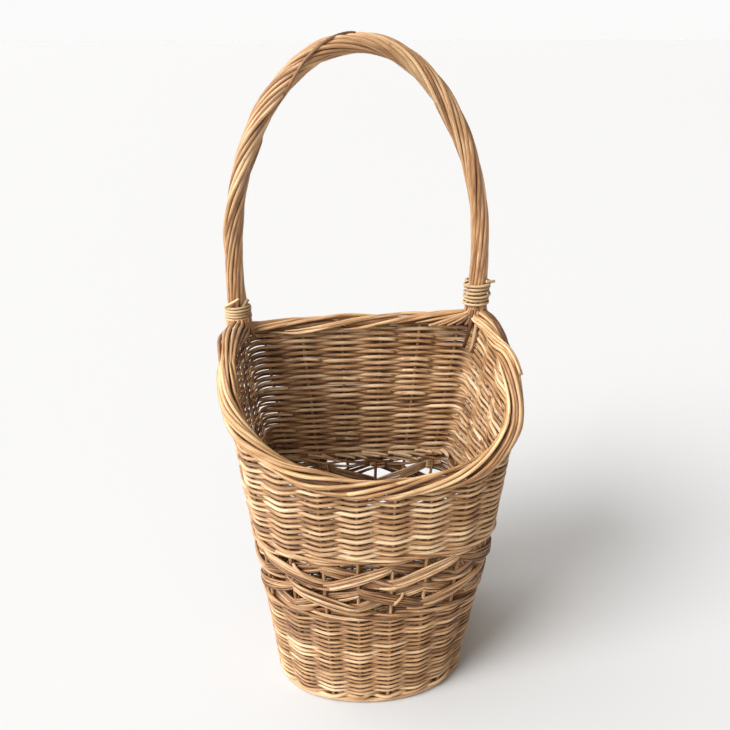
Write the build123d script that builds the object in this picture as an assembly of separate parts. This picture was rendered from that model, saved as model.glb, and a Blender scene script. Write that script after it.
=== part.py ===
from build123d import *
from math import cos, pi, radians, sin
import os

# Egg collection basket in willow: flat back, bowed front, sloping mouth and a tall roped bow handle.
# Millimetres, +Z up.  The flat back faces +Y, the bowed front faces -Y.
# The origin is at floor level, in the middle of the basket's width and depth.

# Wall: a truncated oval in plan that widens from the foot to the rim.
foot_half_width = 98.0        # widest half-width at the foot
foot_back_half_width = 80.0   # half-width of the flat back at the foot
foot_side_depth = 108.0       # from the back to the widest place, at the foot
foot_bow_depth = 76.0         # from the widest place to the front, at the foot
rim_half_width = 133.0
rim_back_half_width = 130.0
rim_side_depth = 134.0
rim_bow_depth = 58.0
bow_exponent = 2.2            # 2 is an ellipse, more is squarer
corner_radius = 20.0          # rounding between the flat back and the sides
wall_thickness = 8.0

# Heights of the bands of the wall.
back_height = 344.0           # level part of the rim, at the back and sides
front_height = 248.0          # lowest point of the rim, at the front
mouth_slope = 1.27            # rise of the rim for each millimetre back from the front
mouth_ease = 0.25             # share of the rise over which the slope eases into the level part
mouth_steps = 40              # straight steps in the slope of the mouth
foot_height = 8.0
wale_height = 7.0
openwork_bottom = 114.0
openwork_top = 174.0

# Rods.
stake_count = 22
stake_radius = 2.3
stake_overlap = 3.0           # how far a stake's top stands in the border
border_radius = 9.0
border_turn = 0.66            # share of a half turn where the border leaves the side for the corner
border_steps = 14             # straight steps in each half of the rim's front and side
border_corner_side = 2.0      # how far in from the side the border turns the back corner
border_corner_depth = 5.0     # and how far forward of the back
join_gap = 0.5                # half the gap where a rod that runs right round meets itself, at the back
zigzag_radius = 2.8
zigzag_clearance = 0.5        # between a bundle and the wale or the bundle beside it
base_stick_count = 7
base_stick_radius = 3.2
base_stick_clearance = 1.0    # from the end of a stick to the wall
base_thickness = 7.0
base_level = 4.0              # underside of the woven base

# Handle: a roped bow on two legs, leaning slightly forward.
handle_radius = 9.5
handle_core_radius = 5.0
handle_leg_x = (-126.0, 119.0)
handle_bow_half_width = 119.0
handle_leg_top = 410.0        # where the straight legs meet the bow
handle_top = 613.0            # centre line at the highest point
handle_lean = 15.0            # how far forward the top of the bow stands
handle_inset = 12.0           # from the back plane to the centre of each leg
spike_depth = 120.0           # how far each leg runs down inside the wall
spike_radius = 3.2
spike_angles = (20, 45)       # where the left and right spikes sit on the rounded back corners
leg_foot = back_height + border_radius + 0.8
handle_steps = 24             # straight steps in the bow
binding_gap = 1.5             # from the border to the first turn
binding_turns = 6
binding_cane_radius = 1.5
binding_squash = 0.5          # how much flatter than round each turn is
tail_rod_count = 4
tail_rod_radius = 2.2
tail_rod_length = 62.0
tail_rod_offset = 9.0         # from the middle of the leg forward to the rods
tail_rod_top = (5.0, 3.0)     # from the leg's middle to the top of the first rod, and from rod to rod
tail_rod_end = (23.0, 8.0)    # the same at the lower ends

plane_allowance = 0.4         # left on the back of the wall, then planed off flat
clear_width = 400.0           # wider than the basket, for the blocks that cut it
clear_depth = 20.0            # how far the mouth's cutter runs past the front and back


def mix(low, high, level):
    """Size of the wall at a height, between its sizes at the foot and at the back rim."""
    return low + (high - low) * level / back_height


front_reach = mix(foot_side_depth + foot_bow_depth, rim_side_depth + rim_bow_depth, front_height)
overall_depth = front_reach - wall_thickness / 2 + border_radius
back_y = overall_depth / 2
front_y = back_y - front_reach


def outline_sizes(level, inset):
    """Half-width, back half-width, side depth and bow depth of the wall at a height."""
    return (
        mix(foot_half_width, rim_half_width, level) - inset,
        mix(foot_back_half_width, rim_back_half_width, level) - inset,
        mix(foot_side_depth, rim_side_depth, level),
        mix(foot_bow_depth, rim_bow_depth, level) - inset,
    )


def bow_point(angle, level, inset):
    """Point on the bowed front; 0 degrees is the front centre and 90 the widest place."""
    half_width, _, side_depth, bow_depth = outline_sizes(level, inset)
    power = 2 / bow_exponent
    x = half_width * abs(sin(radians(angle))) ** power
    y = back_y - side_depth - bow_depth * abs(cos(radians(angle))) ** power
    return Vector(x if angle >= 0 else -x, y, level)


def side_point(share, level, inset):
    """Point on the right side; 0 is the widest place and 1 the end of the rounded corner."""
    half_width, back_half_width, side_depth, _ = outline_sizes(level, inset)
    end_y = back_y - corner_radius
    start_y = back_y - side_depth
    x = half_width + (back_half_width - half_width) * share ** 2
    return Vector(x, start_y + (end_y - start_y) * share, level)


def outline_face(level, inset):
    """Closed plan of the wall at a height."""
    _, back_half_width, _, _ = outline_sizes(level, inset)
    corner = corner_radius - inset
    back_line = back_y - inset if inset else back_y + plane_allowance
    right_side = [side_point(share, level, inset) for share in (0, 0.5, 1)]
    left_side = [Vector(-p.X, p.Y, p.Z) for p in reversed(right_side)]
    angles = range(-90, 91, 15)
    bow = Spline([bow_point(angle, level, inset) for angle in angles])
    sides = [Spline(right_side), Spline(left_side)]
    bends = []
    for sign in (1, -1):
        end = Vector(sign * right_side[2].X, right_side[2].Y, level)
        top = Vector(sign * (back_half_width - corner), back_line, level)
        bulge = corner * (1 - cos(pi / 4))
        middle = Vector(sign * (back_half_width - bulge), back_line - bulge, level)
        bends.append(ThreePointArc(end, middle, top))
    back = Line(bends[0] @ 1, bends[1] @ 1)
    return Face(Wire([bow, sides[0], bends[0], back, bends[1], sides[1]]))


def wall_solid(inset):
    """Solid inside the wall's outline, from the floor to the back rim."""
    return loft([outline_face(0, inset), outline_face(back_height, inset)], ruled=True)


def slab(bottom, top):
    return Pos(0, 0, (bottom + top) / 2) * Box(clear_width, clear_width, top - bottom)


def rim_level(y):
    """Height of the rim at a depth: a straight slope at the front that eases into the level part."""
    rise = back_height - front_height
    travel = mouth_slope * (y - front_y) / rise
    if travel < 1 - mouth_ease:
        share = travel
    elif travel > 1 + mouth_ease:
        share = 1.0
    else:
        share = 1 - (1 + mouth_ease - travel) ** 2 / (4 * mouth_ease)
    return front_height + rise * min(max(share, 0), 1)


def on_rim(point_at):
    """Raise a wall point, given as a function of height, to the rim."""
    point = point_at(front_height)
    for _ in range(6):
        point = point_at(rim_level(point.Y))
    return point


def half_outline(level, inset):
    """Close points along the right half of the wall, from the front centre to the back centre."""
    _, back_half_width, _, _ = outline_sizes(level, inset)
    corner = corner_radius - inset
    points = [bow_point(angle, level, inset) for angle in range(0, 91, 3)]
    points += [side_point(step / 8, level, inset) for step in range(1, 9)]
    for angle in range(10, 91, 10):
        x = back_half_width - corner * (1 - cos(radians(angle)))
        y = back_y - corner_radius + corner * sin(radians(angle))
        points.append(Vector(x, y, level))
    flat = back_half_width - corner
    points += [Vector(flat * (1 - step / 8), back_y - inset, level) for step in range(1, 9)]
    return points


def length_shares():
    """How far along the half outline each of its points lies, from 0 to 1, measured at mid-height."""
    points = half_outline(back_height / 2, wall_thickness / 2)
    lengths = [0.0]
    for a, b in zip(points, points[1:]):
        lengths.append(lengths[-1] + (b - a).length)
    return [length / lengths[-1] for length in lengths]


def wall_position(turn, level, inset):
    """Point on the wall; turn runs from -1 to 1, with 0 at the front centre and 1 at the back centre."""
    size = abs(turn)
    points = half_outline(level, inset)
    shares = length_shares()
    index = max(i for i in range(len(points) - 1) if shares[i] <= size)
    part = (size - shares[index]) / (shares[index + 1] - shares[index])
    point = points[index] + (points[index + 1] - points[index]) * part
    return Vector(point.X if turn >= 0 else -point.X, point.Y, level)


def rod(start, end, radius):
    """Straight round rod between two points."""
    line = Line(start, end)
    return Solid.make_cylinder(radius, line.length, Plane(origin=start, z_dir=end - start))


def tube_along(points, radius, bore=0.0):
    """Round rod with a mitre at each bend; bore is the radius of a hole along it."""
    start = Plane(origin=points[0], z_dir=points[1] - points[0])
    section = Circle(radius) - Circle(bore) if bore else Circle(radius)
    path = Wire(Polyline(*points))
    return sweep(start * section, path=path, transition=Transition.RIGHT)


def make_stakes():
    """Uprights of the wall, from the foot to inside the border."""
    stakes = []
    middle = wall_thickness / 2
    for index in range(stake_count):
        turn = -1 + (2 * index + 1) / stake_count
        foot = wall_position(turn, foot_height / 2, middle)
        top = on_rim(lambda level: wall_position(turn, level, middle))
        reach = (top.Z - border_radius + stake_overlap - foot.Z) / (top.Z - foot.Z)
        stakes.append(rod(foot, foot + (top - foot) * reach, stake_radius))
    return stakes


def make_border():
    """Rolled border: level round the back and sides, and dipping across the front."""
    turns = [border_turn * (1 - index / border_steps) for index in range(border_steps + 1)]
    front = [on_rim(lambda level: wall_position(turn, level, wall_thickness / 2)) for turn in turns]
    back_line = back_y - border_radius
    right = [
        Vector(join_gap, back_line, back_height),
        Vector(rim_back_half_width - corner_radius, back_line, back_height),
        Vector(
            rim_back_half_width - border_radius - border_corner_side,
            back_line - border_corner_depth,
            back_height,
        ),
    ]
    right += front
    left = [Vector(-point.X, point.Y, point.Z) for point in reversed(right[:-1])]
    return tube_along(right + left, border_radius)


def zigzag(level_even, level_odd):
    """One bundle that runs round the openwork, up at one stake and down at the next."""
    middle = wall_thickness / 2
    points = []
    for index in range(stake_count):
        turn = -1 + (2 * index + 1) / stake_count
        level = level_even if index % 2 == 0 else level_odd
        points.append(wall_position(turn, level, middle))
    join = (points[0] + points[-1]) / 2
    gap = (points[0] - points[-1]).normalized()
    return tube_along([join + gap * join_gap] + points + [join - gap * join_gap], zigzag_radius)


def handle_points():
    """Centre line of the handle above the rim, from the foot of the right leg to that of the left."""
    centre_x = sum(handle_leg_x) / 2
    bow_rise = handle_top - handle_leg_top
    lean = handle_lean / (handle_top - leg_foot)
    flat = [(handle_leg_x[1], leg_foot)]
    for step in range(handle_steps + 1):
        angle = pi * step / handle_steps
        x = centre_x + handle_bow_half_width * cos(angle)
        flat.append((x, handle_leg_top + bow_rise * sin(angle)))
    flat.append((handle_leg_x[0], leg_foot))
    foot_y = back_y - handle_inset
    return [Vector(x, foot_y - lean * (z - leg_foot), z) for x, z in flat]


def leg_line(side):
    """Foot and top of one straight leg; side is 0 for the left and 1 for the right."""
    points = handle_points()
    return (points[-1], points[-2]) if side == 0 else (points[0], points[1])


def corner_position(side, angle, level, inset):
    """Point on a rounded back corner; 0 degrees is beside the side wall and 90 beside the back."""
    _, back_half_width, _, _ = outline_sizes(level, inset)
    radius = corner_radius - inset
    x = back_half_width - radius + radius * cos(radians(angle))
    y = back_y - corner_radius + radius * sin(radians(angle))
    return Vector(x if side else -x, y, level)


def leg_spike(side):
    """Thin end of a leg that is thrust down inside the wall."""
    foot, _ = leg_line(side)
    top = Vector(foot.X, foot.Y, foot.Z + spike_radius)
    bottom = corner_position(side, spike_angles[side], foot.Z - spike_depth, wall_thickness / 2)
    return rod(bottom, top, spike_radius)


def make_binding(side):
    """Cane collar: close turns round the foot of a leg."""
    foot, top = leg_line(side)
    along = (top - foot).normalized()
    start = foot + along * binding_gap
    lines = []
    for turn in range(binding_turns):
        low = turn * 2 * binding_cane_radius
        lines.append(
            ThreePointArc(
                (handle_radius + binding_cane_radius, low),
                (handle_radius + 2 * binding_cane_radius - binding_squash, low + binding_cane_radius),
                (handle_radius + binding_cane_radius, low + 2 * binding_cane_radius),
            )
        )
    height = binding_turns * 2 * binding_cane_radius
    lines.append(
        Polyline(
            (handle_radius + binding_cane_radius, height),
            (handle_radius, height),
            (handle_radius, 0),
            (handle_radius + binding_cane_radius, 0),
        )
    )
    profile = Plane.XZ * make_face(lines)
    collar = revolve(profile, axis=Axis.Z)
    return Plane(origin=start, z_dir=along).location * collar


def make_tail_rods(side):
    """Rod ends that fan out of the handle's foot, down the inside of the wall."""
    foot, _ = leg_line(side)
    sign = -1 if side == 0 else 1
    rods = []
    for index in range(tail_rod_count):
        top_x = foot.X - sign * (tail_rod_top[0] + tail_rod_top[1] * index)
        end_x = foot.X - sign * (tail_rod_end[0] + tail_rod_end[1] * index)
        start = Vector(top_x, foot.Y - handle_radius, foot.Z - tail_rod_radius)
        end = Vector(end_x, foot.Y - tail_rod_offset, foot.Z - tail_rod_length)
        rods.append(rod(start, end, tail_rod_radius))
    return rods


def trimmed(tail):
    """The longest piece of a tail rod that is left clear of the border."""
    return max(tail.cut(border).solids(), key=lambda piece: piece.volume)


def make_base_sticks():
    """Sticks of the base, front to back, ending just short of the wall."""
    level = base_level + base_thickness / 2
    inset = wall_thickness + base_stick_clearance
    half_width, back_half_width, side_depth, bow_depth = outline_sizes(level, inset)
    pitch = 2 * back_half_width / base_stick_count
    sticks = []
    for index in range(base_stick_count):
        x = pitch * (index - (base_stick_count - 1) / 2)
        bulge = (1 - (abs(x) / half_width) ** bow_exponent) ** (1 / bow_exponent)
        front = Vector(x, back_y - side_depth - bow_depth * bulge + base_stick_radius, level)
        sticks.append(rod(front, Vector(x, back_y - inset, level), base_stick_radius))
    return sticks


def mouth_cutter():
    """Everything above the sloping rim, straight across the basket."""
    run = (overall_depth + 2 * clear_depth) / mouth_steps
    depths = [front_y - clear_depth + run * index for index in range(mouth_steps + 1)]
    line = [(y, rim_level(y)) for y in depths]
    line += [(depths[-1], handle_top), (depths[0], handle_top)]
    return extrude(Plane.YZ * make_face(Polyline(*line, close=True)), clear_width / 2, both=True)


def band(bottom, top):
    """Ring of the wall between two heights."""
    return shell & slab(bottom, top)


os.makedirs("parts", exist_ok=True)

inside = wall_solid(wall_thickness)
planed = Pos(0, back_y - clear_width / 2, back_height / 2) * Box(clear_width, clear_width, back_height)
shell = (wall_solid(0) & planed) - inside
stakes = make_stakes()
spikes = [leg_spike(side) for side in (0, 1)]
border = make_border()
handle_rope = tube_along(handle_points(), handle_radius, handle_core_radius)
handle_bow = tube_along(handle_points(), handle_core_radius).fuse(*spikes)
base_sticks = make_base_sticks()
openwork_middle = (openwork_bottom + openwork_top) / 2
bundle_room = zigzag_radius + zigzag_clearance

parts = {
    "foot_ring": band(0, foot_height).cut(*stakes),
    "base_sticks": Compound(base_sticks),
    "base_weave": (inside & slab(base_level, base_level + base_thickness)).cut(*base_sticks),
    "lower_siding": band(foot_height, openwork_bottom - wale_height).cut(*stakes),
    "lower_wale": band(openwork_bottom - wale_height, openwork_bottom).cut(*stakes),
    "zigzag_lower": zigzag(openwork_bottom + bundle_room, openwork_middle - bundle_room).cut(*stakes),
    "zigzag_upper": zigzag(openwork_top - bundle_room, openwork_middle + bundle_room).cut(*stakes),
    "upper_wale": band(openwork_top, openwork_top + wale_height).cut(*stakes),
    "upper_siding": (band(openwork_top + wale_height, back_height) - mouth_cutter()).cut(
        border, handle_bow, *stakes
    ),
    "border": border.cut(handle_bow, *stakes),
    "handle_bow": handle_bow,
    "handle_rope": handle_rope,
}
for side, name in enumerate(("left", "right")):
    parts[f"{name}_binding"] = make_binding(side)
    parts[f"{name}_tail_rods"] = Compound([trimmed(tail) for tail in make_tail_rods(side)])
for number, stake in enumerate(stakes, start=1):
    parts[f"stake_{number:02d}"] = stake

for name, shape in parts.items():
    export_step(shape, f"parts/{name}.step")
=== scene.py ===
import math
from functools import partial

import bpy
import numpy as np
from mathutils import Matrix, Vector


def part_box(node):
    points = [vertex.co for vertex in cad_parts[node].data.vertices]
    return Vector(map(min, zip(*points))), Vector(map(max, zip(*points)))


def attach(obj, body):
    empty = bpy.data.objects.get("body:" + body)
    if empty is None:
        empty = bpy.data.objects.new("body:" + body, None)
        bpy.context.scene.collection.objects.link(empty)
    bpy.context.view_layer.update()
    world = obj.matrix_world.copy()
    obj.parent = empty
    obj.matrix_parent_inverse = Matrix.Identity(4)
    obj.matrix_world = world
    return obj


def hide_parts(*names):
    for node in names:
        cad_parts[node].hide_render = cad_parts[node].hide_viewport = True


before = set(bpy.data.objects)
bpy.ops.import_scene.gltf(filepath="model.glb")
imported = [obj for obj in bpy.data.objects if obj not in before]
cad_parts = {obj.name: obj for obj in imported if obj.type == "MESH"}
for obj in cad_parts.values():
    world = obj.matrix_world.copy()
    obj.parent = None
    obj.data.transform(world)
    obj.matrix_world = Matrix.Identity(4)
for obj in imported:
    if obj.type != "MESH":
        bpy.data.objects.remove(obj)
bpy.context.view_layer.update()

# Egg collection basket in willow.  Lengths are millimetres here, turned into metres when a mesh is made.
# Left and right are as seen from the front.
MM = 0.001
rng = np.random.default_rng(20)

# ---------------------------------------------------------------- sizes, read from the CAD frame


def box_mm(node):
    """Lower and upper corner of a CAD node."""
    low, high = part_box(node)
    return np.array(low) / MM, np.array(high) / MM


foot_low, foot_high = box_mm("foot_ring")
lower_low, lower_high = box_mm("lower_siding")
lower_wale_low, lower_wale_high = box_mm("lower_wale")
upper_wale_low, upper_wale_high = box_mm("upper_wale")
border_low, border_high = box_mm("border")
rope_low, rope_high = box_mm("handle_rope")
base_low, base_high = box_mm("base_weave")
left_low, left_high = box_mm("left_binding")
right_low, right_high = box_mm("right_binding")
stake_nodes = sorted(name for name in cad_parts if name.startswith("stake_"))

STAKES = len(stake_nodes)
FOOT_TOP = foot_high[2]
BACK_Y = foot_high[1]
BACK_LEVEL = box_mm("upper_siding")[1][2]
BORDER_RADIUS = border_high[2] - BACK_LEVEL
FRONT_LEVEL = border_low[2] + BORDER_RADIUS
BAND_LOW, BAND_HIGH = lower_wale_high[2], upper_wale_low[2]
UPPER_START = upper_wale_high[2]

# ---------------------------------------------------------------- lines and values


def unit(vectors):
    """The same directions with a length of 1."""
    return vectors / np.linalg.norm(vectors, axis=-1)[..., None]


def lengths_along(line):
    """Length of an open line up to each of its points."""
    return np.append(0, np.cumsum(np.linalg.norm(np.diff(line, axis=0), axis=1)))


def resample(line, places, new_places):
    """Points of a line at new places, given the places of its own points."""
    return np.stack([np.interp(new_places, places, column) for column in line.T], -1)


def smooth(values, passes=2):
    """Rounds the kinks of an open line of values or points."""
    for _ in range(passes):
        middle = (values[:-2] + 2 * values[1:-1] + values[2:]) / 4
        values = np.concatenate([values[:1], middle, values[-1:]])
    return values


def ease(share):
    """A share from 0 to 1 that starts and stops gently."""
    return share * share * (3 - 2 * share)


def tapered(count, butt, tip):
    """Radius of a rod at each of its points, from its thick end to its thin one."""
    return np.linspace(butt, tip, count)


# ---------------------------------------------------------------- wall

MIDDLE = 4.0                 # from the wall's outer face to its middle
CORNER = 20.0                # rounding of the back corners
BOW_EXPONENT = 2.2           # fullness of the bowed front, where 2 is an ellipse
# The back's share of the width and the sides' share of the depth, at the floor, and the gain by the rim.
BACK_WIDTH, BACK_GAIN = 0.816, 0.161
SIDE_DEPTH, SIDE_GAIN = 0.587, 0.111
BACK_POINTS = 24             # points of each half of the outline along the flat back
TABLE_POINTS = 721           # points of each half of the wall's tables
BLUR = 12                    # table points on each side that the outward direction is averaged over

SAG = 10.0                   # the right side has sagged outwards by up to this much
SAG_TURN, SAG_SPREAD = 0.42, 0.34       # middle of the sag on the way round, and its reach each way
# Share of the sag at these shares of the back's height.
SAG_LEVELS, SAG_SHARES = (0, 0.15, 0.33, 0.44, 0.58, 0.85, 1), (0, 0.3, 0.62, 0.88, 1, 0.95, 0.15)

MOUTH_SLOPE = 1.27           # rise of the mouth for each step back
MOUTH_EASE = 0.25            # share of the mouth's rise that is rounded off into the back rim
SIDE_TILT = -0.055           # the left side of the mouth stands a little higher than the right
BACK_TILT = 0.028            # and the back of the mouth rises a little to the right
TILT_DEPTHS = (20, 80)       # depths where the one tilt ends and the other begins
SETBACK_START, SETBACK_RUN = 0.64, 0.08  # where the border steps in, on the way round, and over how far


def at_level(low_value, high_value, level):
    """A wall size that grows evenly from the top of the foot to the top of the lower siding."""
    return low_value + (high_value - low_value) * (level - FOOT_TOP) / (lower_high[2] - FOOT_TOP)


def half_outline(level):
    """Right half of the wall's middle line at a level, from the front centre to the back centre."""
    share = level / BACK_LEVEL
    half_width = at_level(foot_high[0], lower_high[0], level)
    depth = BACK_Y - at_level(foot_low[1], lower_low[1], level)
    back_half = half_width * (BACK_WIDTH + BACK_GAIN * share) - MIDDLE
    side_depth = depth * (SIDE_DEPTH + SIDE_GAIN * share)
    bow_depth = depth - side_depth - MIDDLE
    half_width -= MIDDLE
    corner = CORNER - MIDDLE
    bow = np.radians(np.linspace(0, 90, 61))
    run = np.linspace(0, 1, 25)[1:]
    bend = np.radians(np.linspace(0, 90, 13))[1:]
    back = np.linspace(1, 0, BACK_POINTS + 1)[1:]
    x = np.concatenate([
        half_width * np.sin(bow) ** (2 / BOW_EXPONENT),
        half_width + (back_half - half_width) * run ** 2,
        back_half - corner * (1 - np.cos(bend)),
        (back_half - corner) * back,
    ])
    y = np.concatenate([
        BACK_Y - side_depth - bow_depth * np.cos(bow) ** (2 / BOW_EXPONENT),
        BACK_Y - side_depth + (side_depth - CORNER) * run,
        BACK_Y - CORNER + corner * np.sin(bend),
        np.full(BACK_POINTS, BACK_Y - MIDDLE),
    ])
    return np.stack([x, y], 1)


def wall_tables():
    """Wall middle line at the floor and at the back rim, its outward direction, and the length round it."""
    low, high = half_outline(0.0), half_outline(BACK_LEVEL)
    lengths = lengths_along((low + high) / 2)
    shares = np.linspace(0, 1, TABLE_POINTS)
    tables = []
    for line in (low, high):
        half = resample(line, lengths / lengths[-1], shares)
        left = half[:0:-1] * (-1, 1)
        tables.append(np.concatenate([left, half]))
    step = np.gradient((tables[0] + tables[1]) / 2, axis=0)
    out = unit(np.stack([step[:, 1], -step[:, 0]], 1))
    kernel = np.hanning(2 * BLUR + 1)
    kernel /= kernel.sum()
    padded = np.concatenate([out[-BLUR - 1:-1], out, out[1:BLUR + 1]])
    out = unit(np.stack([np.convolve(column, kernel, "valid") for column in padded.T], 1))
    return tables[0], tables[1], out, 2 * lengths[-1]


WALL_LOW, WALL_HIGH, WALL_OUT, PERIMETER = wall_tables()
TURNS = np.linspace(-1, 1, len(WALL_LOW))
BAY = PERIMETER / STAKES


def turn_at(bay):
    """Way round the wall: -1 at the back centre, -0.5 on the left, 0 at the front, 0.5 on the right.

    A bay is the room from one stake to the next, so stake 0 is at bay 0, half a bay past the back centre.
    """
    return (2 * np.asarray(bay, float) + 1) / STAKES % 2 - 1


def wall(bay, level, out=0.0):
    """Points of the wall at a bay and a height, out from its middle."""
    turn = turn_at(bay)
    level = np.broadcast_to(np.asarray(level, float), turn.shape)
    share = level / BACK_LEVEL
    near = np.clip(1 - np.abs(turn - SAG_TURN) / SAG_SPREAD, 0, 1)
    out = out + SAG * np.interp(share, SAG_LEVELS, SAG_SHARES) * ease(near)
    low, high, outwards = (resample(table, TURNS, turn) for table in (WALL_LOW, WALL_HIGH, WALL_OUT))
    flat = low + (high - low) * share[..., None] + out[..., None] * outwards
    return np.concatenate([flat, level[..., None]], -1)


def outward(bay):
    """The wall's outward direction, which is level."""
    flat = resample(WALL_OUT, TURNS, turn_at(bay))
    return np.concatenate([flat, np.zeros(flat.shape[:-1] + (1,))], -1)


FRONT_Y = wall((STAKES - 1) / 2, FRONT_LEVEL)[1]


def rim_level(y):
    """Height of the mouth at a depth, before it is tilted."""
    rise = BACK_LEVEL - FRONT_LEVEL
    travel = MOUTH_SLOPE * (y - FRONT_Y) / rise
    eased = 1 - (1 + MOUTH_EASE - travel) ** 2 / (4 * MOUTH_EASE)
    share = np.where(travel < 1 - MOUTH_EASE, travel, np.where(travel > 1 + MOUTH_EASE, 1.0, eased))
    return FRONT_LEVEL + rise * np.clip(share, 0, 1)


def rim(bay):
    """Height of the border's centre line, found in a few rounds because the wall leans."""
    level = np.full(np.shape(bay), FRONT_LEVEL)
    for _ in range(6):
        point = wall(bay, level)
        tilt = np.interp(point[..., 1], TILT_DEPTHS, (SIDE_TILT, BACK_TILT))
        level = rim_level(point[..., 1]) + tilt * point[..., 0]
    return level


def border_line(bay):
    """Centre line of the border: over the wall's middle at the front, and set in at the back."""
    setback = np.clip((np.abs(turn_at(bay)) - SETBACK_START) / SETBACK_RUN, 0, 1)
    return wall(bay, rim(bay), -(BORDER_RADIUS - MIDDLE) * setback)


# ---------------------------------------------------------------- rods

PAINTED_LIGHT, PAINTED_SHADE = 0.14, 0.46     # painted light and painted shade: how much paler a woven rod is on its open side, and darker on its covered side
GRAIN_SPREAD = 900           # each rod's grain starts somewhere in a cube of this size


class Rods:
    """Collects round rods, each with its own tone and grain, and makes one mesh of them.  Woven rods also
    carry painted light and painted shade in their tone.
    """

    def __init__(self, name, slot, nodes):
        self.name, self.slot, self.nodes = name, slot, nodes
        self.points, self.tones, self.grains = [], [], []
        self.loops, self.sizes, self.cuts = [], [], []
        self.total = 0

    def add(self, points, radius, tone=None, sides=8, facing=None):
        """facing points to the side from which the rod is seen; the side turned into the weave gets painted
        shade and the open side painted light.
        """
        points = np.asarray(points, float)
        count = len(points)
        radius = np.broadcast_to(np.asarray(radius, float), (count,))
        tone = rng.normal(0.5, 0.17) if tone is None else tone
        step = unit(np.gradient(points, axis=0))
        up = np.array([0.0, 0.0, 1.0]) if abs(step[0][2]) < 0.8 else np.array([0.0, 1.0, 0.0])
        normals = np.empty_like(points)
        for index in range(count):
            up = unit(up - step[index] * (up @ step[index]))
            normals[index] = up
        angles = np.linspace(0, 2 * math.pi, sides, endpoint=False)
        cosine, sine = np.cos(angles), np.sin(angles)
        across = np.cross(step, normals)
        around = cosine[None, :, None] * normals[:, None] + sine[None, :, None] * across[:, None]
        seed = rng.uniform(0, GRAIN_SPREAD, 3)
        grain = np.empty((count, sides, 3))
        grain[..., 0] = lengths_along(points)[:, None] + seed[0]
        grain[..., 1] = radius[:, None] * cosine + seed[1]
        grain[..., 2] = radius[:, None] * sine + seed[2]
        shade = np.repeat(np.broadcast_to(np.asarray(tone, float), (count,)), sides).reshape(count, sides)
        # Painted shade on the side turned into the weave and painted light on the open side, in place of the
        # shadow between the rods.
        if facing is not None:
            seen = np.sum(around * facing[:, None], axis=2)
            shade = shade + np.where(seen > 0, PAINTED_LIGHT * seen, PAINTED_SHADE * seen)
        self.points.append((points[:, None] + radius[:, None, None] * around).reshape(-1, 3))
        self.grains.append(grain.reshape(-1, 3))
        self.tones.append(shade.ravel())
        rows = np.arange(count - 1)[:, None] * sides
        here = np.arange(sides)[None]
        there = (here + 1) % sides
        quads = np.stack([rows + here, rows + there, rows + sides + there, rows + sides + here], -1)
        caps = np.stack([np.arange(sides)[::-1], (count - 1) * sides + np.arange(sides)])
        self.loops += [quads.ravel() + self.total, caps.ravel() + self.total]
        self.sizes += [np.full(len(quads) * sides, 4), np.full(2, sides)]
        self.cuts += [np.zeros(len(quads) * sides), np.ones(2)]
        self.total += count * sides

    def weave(self, bays, level, out, radius, tone, swing):
        """Adds a rod along the wall.  swing is 1 where it is seen from outside and -1 where from inside, and
        places its painted light and painted shade.
        """
        self.add(wall(bays, level, out), radius, tone, facing=swing[:, None] * outward(bays))

    def finish(self, material):
        """Makes the mesh.  A cut face is a rod's end."""
        points = np.concatenate(self.points) * MM
        loops, sizes = np.concatenate(self.loops), np.concatenate(self.sizes)
        cuts = np.concatenate(self.cuts)
        mesh = bpy.data.meshes.new(self.name)
        mesh.vertices.add(len(points))
        mesh.vertices.foreach_set("co", points.astype(np.float32).ravel())
        mesh.loops.add(len(loops))
        mesh.loops.foreach_set("vertex_index", loops.astype(np.int32))
        mesh.polygons.add(len(sizes))
        mesh.polygons.foreach_set("loop_start", (np.cumsum(sizes) - sizes).astype(np.int32))
        mesh.polygons.foreach_set("use_smooth", cuts < 0.5)
        mesh.update(calc_edges=True)
        tones, grains = np.concatenate(self.tones), np.concatenate(self.grains)
        # The tone attribute carries each rod's own tone with the painted light and painted shade of the
        # weave.
        for title, kind, domain, field, values in (
            ("tone", "FLOAT", "POINT", "value", tones),
            ("grain", "FLOAT_VECTOR", "POINT", "vector", grains),
            ("cut", "FLOAT", "FACE", "value", cuts),
        ):
            attribute = mesh.attributes.new(title, kind, domain)
            attribute.data.foreach_set(field, values.astype(np.float32).ravel())
        obj = bpy.data.objects.new(self.name, mesh)
        bpy.context.scene.collection.objects.link(obj)
        mesh.materials.append(material)
        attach(obj, "root")
        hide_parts(*self.nodes)


# ---------------------------------------------------------------- weaving

STEPS = 8                    # points in each bay of a woven rod
END = 0.4                    # how far past its last stake a weaver runs, in bays
ROD_LENGTHS = (6, 8, 10)     # stakes that a weaver may pass
WEAVE_OUT = 3.0              # how far a weaver stands off the wall's middle as it passes a stake
LOWER_WEAVE_OUT = 2.4        # and how far in the lower siding
BLUNT = 0.93                 # 1 for a weaver that is straight between stakes, and less for one that curves
LOWER_ROW = 2.66             # height that a row takes in the lower siding
FRONT_ROW, BACK_ROW = 2.98, 3.36        # and in the upper siding, at the front and at the back
WEAVER = 0.555               # radius of a weaver, as a share of its row's height
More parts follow.
